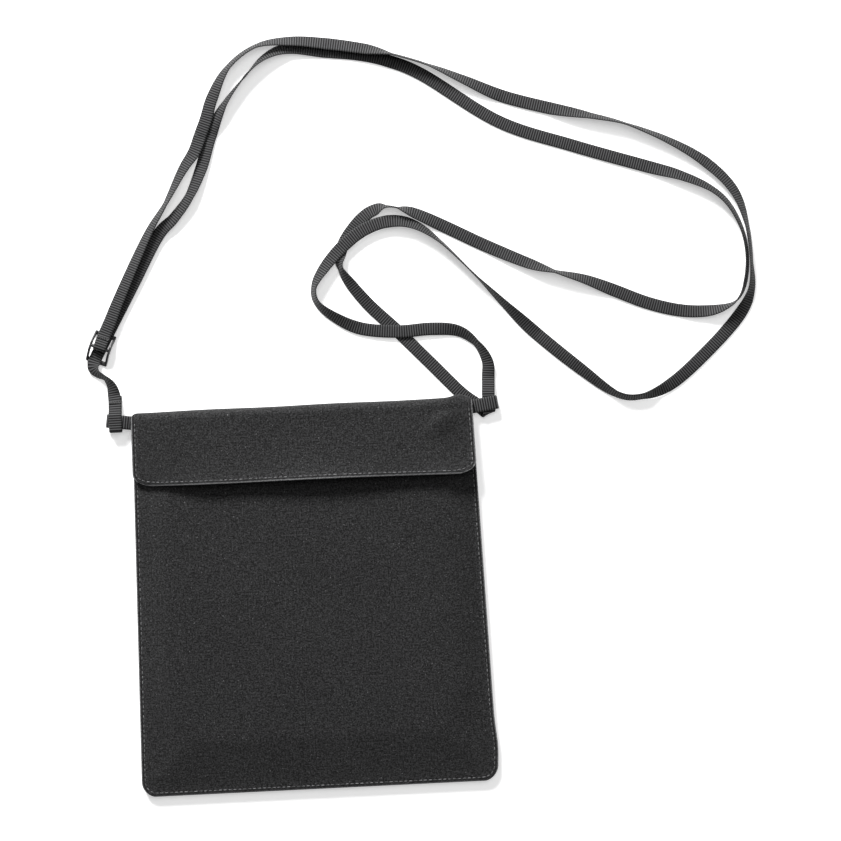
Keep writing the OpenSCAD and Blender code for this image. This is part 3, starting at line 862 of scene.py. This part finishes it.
def build_tapes(m):
    """Loop tape on the front and hook tape under the flap, each a raised bed with a row
    of tufts or hooks a pitch apart."""
    for name, surface, offset, body, slot in (
            ("loop_tape_bed", front_surface, 0.16, "pouch", "loop_tape"),
            ("hook_tape_bed", flap_surface, -m.canvas - CLOTH_GAP - m.lining - 0.2, "flap",
             "hook_tape")):
        us = steps_with_close_ends(TAPE_LENGTH, 1.0) - TAPE_LENGTH / 2
        vs = steps_with_close_ends(TAPE_WIDTH, 1.0)
        x, y = np.meshgrid(us, vs + m.flap_edge + TAPE_IN, indexing="ij")
        middle = np.stack([x, y, surface(m, x, y) + offset], axis=2)
        piece = cloth(name, middle, 0.26, us, vs)
        dress(piece, slot, slot, body=body)
        hooks = body == "flap"
        pitch = 1.6 if hooks else 1.25
        cx, cy = np.meshgrid(np.arange(-49, 49, pitch), np.arange(1, 15.2, pitch), indexing="ij")
        cx = (cx + 0.3 * np.sin(cy * 5 + cx * 3)).ravel()
        cy = (cy + m.flap_edge + TAPE_IN).ravel() + 0.2 * np.sin(cx * 7)
        rise = -0.2 if hooks else 0.16
        centres = np.stack([cx, cy, surface(m, cx, cy) + offset + rise], axis=1)
        lean = cx * 2.4 + cy * 1.7
        ahead = unit(np.stack([np.cos(lean), np.sin(lean), 0.25 * np.sin(3 * lean)], axis=1))
        up = unit(np.cross(ahead, np.cross([[0, 0, 1.0]], ahead)))
        tufts = stitches("hook_tape_hooks" if hooks else "loop_tape_loops", centres, ahead, up,
                         0.7 if hooks else 1.3, 0.15 if hooks else 0.12)
        tufts.data.materials.append(finish_of(slot))
        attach(tufts, body)


def build_seam_stitches(m):
    """A row down the left side, round the bottom corners and up the right side."""
    y = np.concatenate([np.linspace(m.mouth - 1, -m.half_h, 400), np.full(400, -m.half_h),
                        np.linspace(-m.half_h, m.mouth - 1, 400)])
    u = np.concatenate([np.full(400, -1.0), np.linspace(-1, 1, 400), np.full(400, 1.0)])
    path = np.stack([body_x(m, u, y), y], axis=1)
    distance = along(path)
    path = softened(resampled(path, distance, np.linspace(0, distance[-1], 1500)), 4)
    ahead = unit(np.gradient(path, axis=0))
    inward = np.stack([-ahead[:, 1], ahead[:, 0]], axis=1)
    x, y = (path + m.stitch_in * inward).T
    row = np.stack([x, y, front_surface(m, x, y) + 0.08], axis=1)
    dress(stitch_row("seam_stitches", row, m), "thread", "seam_stitching", body="pouch")


# ---- webbing ----------------------------------------------------------------

# Rows of [x, y, twist, lift] in millimetres and degrees, as in the CAD source.
# A twist of 0 or 180 lies flat, 90 stands on edge, and lift is the height over
# what the twist alone gives.
OUTWARD_RUN = [
    [-40, 210, 0, 1.3], [-36.9, 217.4, 5, 1.3], [-33.5, 227, 15, 1.2],
    [-26, 240, 60, 0], [-13, 249, 65, 0],
    [3, 250.5, 35, 0.7], [20, 248.5, 15, 0.9], [36, 245.5, 25, 0.9],
    [48, 242.5, 75, 0.2], [64, 237, 75, 0], [80, 229.5, 40, 0], [97, 221.5, 0, 0],
    [118, 215, 5, 0], [136, 210.5, 55, 0], [152, 206, 75, 0], [172, 197, 50, 0],
    [188, 186.5, 25, 0], [199.5, 173.5, 35, 0], [204.3, 158, 65, 0],
    [205.6, 141, 70, 0], [204.8, 128, 50, 0], [198, 116, 0, 0],
    [182, 100, 0, 0], [167, 88, 15, 0], [154, 83, 65, 0], [142, 84.5, 65, 0],
    [126, 97, 25, 0], [108, 113, 0, 0], [95, 126, 55, 0], [82, 140, 90, 0],
    [66, 157, 105, 0], [54, 165.5, 140, 0.4], [43, 167.2, 175, 2.3],
    [32, 164, 180, 2.6], [22, 157, 180, 2.7], [13, 147.5, 150, 1.2],
    [8, 139, 115, 0], [9.5, 131.5, 115, 0], [18, 124.5, 145, 0], [29, 119.5, 175, 0.4],
    [45, 117.5, 180, 1.1]
]

ENTRY_RUN = [
    [60, 118, 180, 0.9], [72, 116.5, 150, 0], [80, 110.5, 115, 0], [84.5, 102.5, 150, 0],
    [84.6, 95, 180, 0.5], [84.2, 88, 180, 2.75], [84.2, 84, 180, 2.83]
]

RETURN_RUN = [
    [78, 83.7, 0, 0], [71.5, 89, 0, 0], [59, 102.5, 0, 0], [44, 118.5, 0, 0],
    [33, 129.5, 10, 0], [25, 139.5, 30, 0], [20.5, 147, 70, 0], [20.5, 153, 25, 0],
    [23, 159.5, 5, 0], [28, 166.2, 4, 0], [33, 170.8, 8, 0],
    [37.5, 173, 20, 0], [42, 174, 75, 0], [47, 173.3, 85, 0], [55, 170.5, 30, 0],
    [68, 164, 0, 0], [86, 154.5, 0, 0], [105, 145.5, 25, 0], [117, 141, 75, 0],
    [130, 137, 40, 0], [143, 131.5, 5, 0], [158, 125, 0, 0], [172, 121, 0, 0],
    [184, 120, 20, 0], [193, 121.5, 65, 0], [199, 125, 100, 0], [202.3, 132, 112, 0],
    [203.8, 143, 112, 0], [202.3, 155, 112, 0], [197, 167, 120, 0],
    [189, 175, 125, 0], [176, 181.5, 145, 0], [161, 186.5, 175, 0],
    [128, 197.5, 180, 0], [95, 210, 180, 0], [62, 232.5, 180, 0], [46, 240, 180, 0],
    [33, 243.5, 180, 0], [18, 245.5, 180, 0], [2, 247.5, 160, 0],
    [-9, 244, 125, 0], [-18, 236, 95, 0], [-28, 224, 120, 0]
]

LEAD_RUN = [
    [-35, 211, 178, 0], [-40, 196, 168, 0], [-46, 183, 140, 0], [-53.5, 173.5, 155, 0.3],
    [-61.5, 165.5, 180, 1.28], [-73.5, 144.5, 180, 1.28], [-85.5, 123.5, 180, 1.28],
    [-89.4, 116.5, 180, 1.28], [-92.4, 111, 180, 1.28], [-93, 107.7, 160, 1],
    [-91.3, 105, 125, 0], [-88, 103, 110, 0], [-85.3, 99.5, 140, 0.4],
    [-84.3, 95, 175, 1.5], [-84, 90, 180, 3.1], [-84, 86, 180, 4.73]
]

TAIL_RUN = [[-84, 86, 0, 2.93], [-84, 90, 0, 1.4], [-84, 94.5, 0, 0]]

SEWN_RUN = [
    [-84.6, 127.5, 5, 3.1], [-78.5, 141, 22, 1.8], [-66, 166, 45, 0.3],
    [-57, 180, 65, 0], [-48.5, 195, 35, 0.4], [-43.1, 202.6, 10, 1.2],
    [-40.01, 209.97, 0, 1.3]
]

TABLE_GAP = 0.12
SLIDER_X, SLIDER_Y, SLIDER_TURN = -89.4, 116.5, math.radians(22)
BAR_RADIUS, BAR_HEIGHT = 0.7, 4.1
TAB_TURN = math.radians(8)


def flowing(rows, count=14):
    """Rows on a smooth curve through the given ones: each new value is the usual cubic of
    the four round it, while twist and lift go straight from row to row."""
    rows = np.array(rows, float)
    ends = np.concatenate([rows[:1], rows, rows[-1:]])
    before, a, b, after = ends[:-3], ends[1:-2], ends[2:-1], ends[3:]
    t = (np.arange(count) / count)[None, :, None]
    before, a, b, after = (r[:, None] for r in (before, a, b, after))
    curve = 0.5 * (2 * a + (b - before) * t + (2 * before - 5 * a + 4 * b - after) * t ** 2
                   + (3 * a - before - 3 * b + after) * t ** 3)
    straight = a + (b - a) * t
    out = np.concatenate([curve[..., :2], straight[..., 2:]], axis=2).reshape(-1, 4)
    return np.concatenate([out, rows[-1:]])


def stations(rows, m):
    """Middle points and width directions: heading h from the curve, height from the twist t
    as half width times |sin t| plus half thickness times |cos t|, and width along
    (cos t sin h, -cos t cos h, sin t)."""
    rows = flowing(rows)
    ahead = np.gradient(rows[:, :2], axis=0)
    h = np.arctan2(ahead[:, 1], ahead[:, 0])
    t = np.radians(rows[:, 2])
    z = (TABLE_GAP + m.strap_w / 2 * np.abs(np.sin(t)) + m.strap_t / 2 * np.abs(np.cos(t))
         + rows[:, 3])
    middle = np.column_stack([rows[:, :2], z])
    way = np.column_stack([np.cos(t) * np.sin(h), -np.cos(t) * np.cos(h), np.sin(t)])
    return middle, way


def half_turn(centre, radius, into, out, count=24):
    """Turn from top to bottom round an edge, creased on the slant between its two headings."""
    n_way = math.radians((into + out) / 2 - 90)
    n = np.array([math.cos(n_way), math.sin(n_way), 0])
    c = np.array([-math.sin(n_way), math.cos(n_way), 0])
    along_n = math.cos(math.radians(into) - n_way)
    along_c = math.cos(math.radians(into - 90) - n_way)
    t = np.linspace(0, np.pi, count)[:, None]
    up = np.array([0, 0, 1.0])
    middle = (np.array(centre) + radius * (np.sin(t) * n + np.cos(t) * up)
              + c * radius * along_c / along_n * t)
    return middle, -along_n * c + along_c * (np.cos(t) * n - np.sin(t) * up)


def joined(*parts):
    """Parts end to end, with the width's direction kept from flipping."""
    middle = np.concatenate([p[0] for p in parts])
    way = np.concatenate([p[1] for p in parts])
    sense = np.sign((way[1:] * way[:-1]).sum(1))
    sense = np.cumprod(np.concatenate([[1], np.where(sense == 0, 1, sense)]))
    keep = np.concatenate([[True], np.linalg.norm(np.diff(middle, axis=0), axis=1) > 1e-6])
    return middle[keep], (way * sense[:, None])[keep]


def slider_place(lengthwise, z):
    """Points on the slider's middle line, by distance along it and height."""
    lengthwise, z = np.broadcast_arrays(np.asarray(lengthwise, float), z)
    return np.column_stack([SLIDER_X + lengthwise * math.sin(SLIDER_TURN),
                            SLIDER_Y + lengthwise * math.cos(SLIDER_TURN), z])


SLIDER_AHEAD = np.array([math.sin(SLIDER_TURN), math.cos(SLIDER_TURN), 0])
SLIDER_SIDE = np.array([math.cos(SLIDER_TURN), -math.sin(SLIDER_TURN), 0])


def build_strap(m):
    """The long run round the neck and the short length that is sewn round the slider."""
    middle, way = joined(
        stations(OUTWARD_RUN + ENTRY_RUN, m), half_turn([84.2, 80.1, 2.1], 1.25, -90, 137),
        stations(RETURN_RUN + LEAD_RUN, m), half_turn([-84, 79.2, 4.35], 0.9, -90, 90),
        stations(TAIL_RUN, m))
    strap, path = ribbon("neck_strap_webbing", middle, way, m, m.strap_w, m.strap_t)
    dress(strap, "webbing", "neck_strap", body="pouch")
    wrap = BAR_RADIUS + 0.1 + m.strap_t / 2
    turn = np.linspace(0, np.pi, 20)
    loop = np.concatenate([
        slider_place([5.5, 3.5, 1.5], BAR_HEIGHT - wrap),
        slider_place(-wrap * np.sin(turn), BAR_HEIGHT - wrap * np.cos(turn)),
        slider_place([1.5, 3, 7], np.array([1.15, 0.75, 0.1]) + BAR_HEIGHT)])
    middle, way = joined((loop, np.repeat(SLIDER_SIDE[None], len(loop), 0)),
                         stations(SEWN_RUN, m))
    sewn, sewn_path = ribbon("sewn_end_webbing", middle, way, m, m.strap_w, m.strap_t)
    dress(sewn, "webbing", "strap_sewn_end")
    top = slider_place([9.0], 0.004)[0] * MM
    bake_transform(sewn)
    tail = bartack("strap_tail_threads", np.array([-84, 91.6, 3.62]),
                   unit(np.array([0, 0.93, -0.36])), np.array([1.0, 0, 0]), m.strap_w - 1)
    dress(tail, "dark_thread", "strap_tail_bartack", body="pouch")
    end = bartack("sewn_end_threads", slider_place([4.6], BAR_HEIGHT + 0.98)[0],
                  unit(SLIDER_AHEAD - [0, 0, 0.15]), SLIDER_SIDE, m.strap_w - 1)
    dress(end, "dark_thread", "sewn_end_bartack", body="slider")
    tuple(path[-1] * MM)
    (path[::-8] * MM).tolist()
    tuple(sewn_path[0] * MM)
    (sewn_path[::4] * MM).tolist()


def build_tabs(m):
    """Short loops of the same webbing, sewn flat into the side seams, which open out to
    hold the strap: out along the lower layer, round the end and back along the upper."""
    root = half_width(m, m.fold)
    bend = 12 - 1.7
    turn = np.radians(np.linspace(-90, 90, 16))
    low = np.array([[-3.5, 2.62], [-0.5, 2.62], [0.8, 2.5], [2.4, 1.95], [3.8, 1.68],
                    [6.0, 1.65], [8.5, 1.65]])
    arc = np.column_stack([bend + 1.33 * np.cos(turn), 3 + 1.33 * np.sin(turn)])
    side = np.concatenate([low, arc, np.column_stack([low[::-1, 0], 6 - low[::-1, 1]])])
    at = along(side)
    side = softened(resampled(side, at, np.linspace(0, at[-1], 240)), 4)
    for sign, name in ((-1, "left_tab"), (1, "right_tab")):
        out = np.array([sign * math.cos(TAB_TURN), math.sin(TAB_TURN), 0])
        across = np.array([-sign * math.sin(TAB_TURN), math.cos(TAB_TURN), 0])
        base = np.array([sign * root, m.fold - 0.5, 0])
        middle = base + side[:, :1] * out + side[:, 1:] * np.array([0, 0, 1.0])
        way = np.repeat(across[None], len(middle), 0)
        tab = ribbon(name + "_webbing", middle, way, m, m.strap_w + 0.4, 0.62)[0]
        dress(tab, "webbing", name, body="pouch")
        tack = bartack(name + "_threads", base - 2.2 * out + [0, 0, 3.7], out, across, 4.4)
        dress(tack, "dark_thread", *(["tab_bartacks"] if sign < 0 else []), body="pouch")


# ---- buckle -----------------------------------------------------------------


def loft(centres, side, up, half_side, half_up, power=0.55):
    """Rings round a line of centres: a rounded oblong, cosine and sine of the angle each
    raised to a power below 1, with its own half sizes at each centre."""
    turn = np.radians(np.arange(0, 360, 18) + 9)
    c = np.sign(np.cos(turn)) * np.abs(np.cos(turn)) ** power
    s = np.sign(np.sin(turn)) * np.abs(np.sin(turn)) ** power
    rings = (centres[:, None] + (half_side[:, None] * c)[..., None] * side
             + (half_up[:, None] * s)[..., None] * up)
    v = np.repeat(along(centres)[:, None], len(turn), axis=1)
    u = np.repeat((turn * 0.6)[None], len(centres), axis=0)
    return tube(rings, u, v)


def build_slider():
    """Three-bar slider: two arched side rails, a low bar at each end and a high round bar
    in the middle, all with moulded round edges."""
    half, gap, rail = 7.2, 7.9 / 2, 1.0
    up = np.array([0, 0, 1.0])
    at = np.concatenate([[-half, -half + 0.06, -half + 0.2],
                         np.linspace(-half + 0.45, half - 0.45, 44),
                         [half - 0.2, half - 0.06, half]])
    low = np.interp(np.abs(at), [0, 2.2, half - 2, half], [2.6, 2.6, 0.12, 0.12])
    high = np.interp(np.abs(at), [0, 2, half], [4.8, 4.8, 1.15])
    low, high = softened(np.column_stack([low, high]), 2).T
    cap = np.maximum(rounded((half - np.abs(at)) / 0.45), 0.35)
    parts = []
    for sign in (-1, 1):
        centres = slider_place(at, (low + high) / 2) + sign * (gap + rail / 2) * SLIDER_SIDE
        parts.append(loft(centres, -SLIDER_SIDE, up, rail / 2 * cap, (high - low) / 2 * cap))
    across = np.linspace(-gap - 0.3, gap + 0.3, 12)
    for place, z, half_l, half_z, power in ((-half + 1, 0.63, 1.0, 0.5, 0.6),
                                            (half - 1, 0.63, 1.0, 0.5, 0.6),
                                            (0, BAR_HEIGHT, BAR_RADIUS, BAR_RADIUS, 1.0)):
        centres = slider_place([place], z) + across[:, None] * SLIDER_SIDE
        size = np.ones(len(across))
        parts.append(loft(centres, SLIDER_AHEAD, up, half_l * size, half_z * size, power))
    points, faces, uv, first = [], [], [], 0
    for p, f, t in parts:
        points.append(p)
        faces += [[k + first for k in face] for face in f]
        uv.append(t)
        first += len(p)
    piece = new_piece("slider_buckle", np.concatenate(points), faces, np.concatenate(uv))
    dress(piece, "plastic", "strap_slider", body="slider")


# ---- stage ------------------------------------------------------------------


def floor_finish():
    """Matt pale table with a hardly visible grain."""
    f = Finish("floor")
    place = f.node("ShaderNodeTexCoord").outputs["Object"]
    grain = f.noise(place, 60.0, 3.0)
    colour = f.shade(colours().floor, f.climb(grain, 0.2, 0.8, 0.985, 1.0))
    return f.surface(colour, f.climb(grain, 0.2, 0.8, 0.75, 0.85), **{
        "Specular IOR Level": 0.2, "Emission Color": (1, 1, 1, 1), "Emission Strength": 0.42})


def build_floor():
    """A large flat table."""
    reach = 15000.0
    corners = np.array([[-reach, -reach, 0], [reach, -reach, 0], [reach, reach, 0],
                        [-reach, reach, 0]])
    floor = new_piece("floor", corners, [[0, 1, 2, 3]], corners[:, :2])
    floor.data.materials.append(floor_finish())


def add_light(name, place, target, size, power):
    """Square soft light that faces a point."""
    light = bpy.data.lights.new(name, "AREA")
    light.shape = "SQUARE"
    light.size = size
    light.energy = power
    lamp = bpy.data.objects.new(name, light)
    bpy.context.scene.collection.objects.link(lamp)
    lamp.location = place
    way = np.array(target) - np.array(place)
    flat = math.hypot(way[0], way[1])
    lamp.rotation_euler = (math.atan2(flat, -way[2]), 0, math.atan2(-way[0], way[1]))


def build_stage():
    """Pale table, key light from beyond the flap, soft fill, and a camera straight above."""
    build_floor()
    add_light("key", (-0.35, 1.2, 0.72), (0.03, 0.05, 0), 0.4, 42)
    add_light("fill", (0.35, 0.6, 1.5), (0.05, 0.08, 0), 1.1, 9)
    world = bpy.data.worlds.new("studio")
    world.use_nodes = True
    world.node_tree.nodes["Background"].inputs[0].default_value = (1, 1, 1, 1)
    world.node_tree.nodes["Background"].inputs[1].default_value = 0.15
    scene = bpy.context.scene
    scene.world = world
    scene.view_settings.view_transform = "Standard"
    camera = bpy.data.cameras.new("camera")
    camera.lens = 85
    camera.sensor_width = 36
    view = bpy.data.objects.new("camera", camera)
    scene.collection.objects.link(view)
    view.location = (0.0531, 0.0769, 0.8975)
    view.rotation_euler = (0, 0, math.radians(-2.8))
    scene.camera = view


# ---- operators --------------------------------------------------------------


class POUCH_OT_stage(bpy.types.Operator):
    """Adds the table, the lights and the camera."""

    bl_idname = "pouch.stage"
    bl_label = "Stage"

    def execute(self, context):
        build_stage()
        return {"FINISHED"}


class POUCH_OT_strap(bpy.types.Operator):
    """Adds the strap, its sewn end and their bartacks."""

    bl_idname = "pouch.strap"
    bl_label = "Neck Strap"

    def execute(self, context):
        build_strap(measures())
        return {"FINISHED"}


class POUCH_OT_tabs(bpy.types.Operator):
    """Adds the two webbing loops in the side seams."""

    bl_idname = "pouch.tabs"
    bl_label = "Side Tabs"

    def execute(self, context):
        build_tabs(measures())
        return {"FINISHED"}


class POUCH_OT_slider(bpy.types.Operator):
    """Adds the three-bar slider."""

    bl_idname = "pouch.slider"
    bl_label = "Strap Slider"

    def execute(self, context):
        build_slider()
        return {"FINISHED"}


class POUCH_OT_panels(bpy.types.Operator):
    """Adds the front and back cloths."""

    bl_idname = "pouch.panels"
    bl_label = "Panels"

    def execute(self, context):
        build_front(measures())
        build_back(measures())
        return {"FINISHED"}


class POUCH_OT_linings(bpy.types.Operator):
    """Adds the linings and the slip pocket."""

    bl_idname = "pouch.linings"
    bl_label = "Linings"

    def execute(self, context):
        build_linings(measures())
        build_slip_pocket(measures())
        return {"FINISHED"}


class POUCH_OT_mouth(bpy.types.Operator):
    """Adds the hem and the stitches at the pocket mouth."""

    bl_idname = "pouch.mouth"
    bl_label = "Mouth Hem"

    def execute(self, context):
        build_mouth_hem(measures())
        return {"FINISHED"}


class POUCH_OT_flap(bpy.types.Operator):
    """Adds the flap, its lining and its stitches."""

    bl_idname = "pouch.flap"
    bl_label = "Flap"

    def execute(self, context):
        build_flap(measures())
        return {"FINISHED"}


class POUCH_OT_fold(bpy.types.Operator):
    """Adds the cloth that bends over the top edge."""

    bl_idname = "pouch.fold"
    bl_label = "Fold"

    def execute(self, context):
        build_fold(measures())
        return {"FINISHED"}


class POUCH_OT_tapes(bpy.types.Operator):
    """Adds the hook tape and the loop tape."""

    bl_idname = "pouch.tapes"
    bl_label = "Closure Tapes"

    def execute(self, context):
        build_tapes(measures())
        return {"FINISHED"}


class POUCH_OT_seams(bpy.types.Operator):
    """Adds the stitches round the body of the pouch."""

    bl_idname = "pouch.seams"
    bl_label = "Seam Stitches"

    def execute(self, context):
        build_seam_stitches(measures())
        return {"FINISHED"}


OPERATORS = [
    POUCH_OT_stage, POUCH_OT_strap, POUCH_OT_tabs, POUCH_OT_slider, POUCH_OT_panels,
    POUCH_OT_linings, POUCH_OT_mouth, POUCH_OT_flap, POUCH_OT_fold, POUCH_OT_tapes,
    POUCH_OT_seams,
]


class POUCH_PT_panel(bpy.types.Panel):
    """Lists the pieces of the pouch and its sizes and colours."""

    bl_label = "Neck Pouch Wallet"
    bl_space_type = "VIEW_3D"
    bl_region_type = "UI"
    bl_category = "Pouch"

    def draw(self, context):
        for made in OPERATORS:
            self.layout.operator(made.bl_idname)
        for group in (context.scene.pouch_sizes, context.scene.pouch_colours):
            for name in group.__annotations__:
                self.layout.prop(group, name)


CLASSES = [PouchSizes, PouchColours, *OPERATORS, POUCH_PT_panel]


def register():
    """Registers the classes and puts the settings on the scene."""
    for made in CLASSES:
        bpy.utils.register_class(made)
    bpy.types.Scene.pouch_sizes = bpy.props.PointerProperty(type=PouchSizes)
    bpy.types.Scene.pouch_colours = bpy.props.PointerProperty(type=PouchColours)


def unregister():
    """Takes the settings and the classes away again."""
    del bpy.types.Scene.pouch_sizes
    del bpy.types.Scene.pouch_colours
    for made in reversed(CLASSES):
        bpy.utils.unregister_class(made)


def main():
    """Builds every piece in order."""
    register()
    for made in OPERATORS:
        group, name = made.bl_idname.split(".")
        getattr(getattr(bpy.ops, group), name)()


if __name__ == "__main__":
    main()
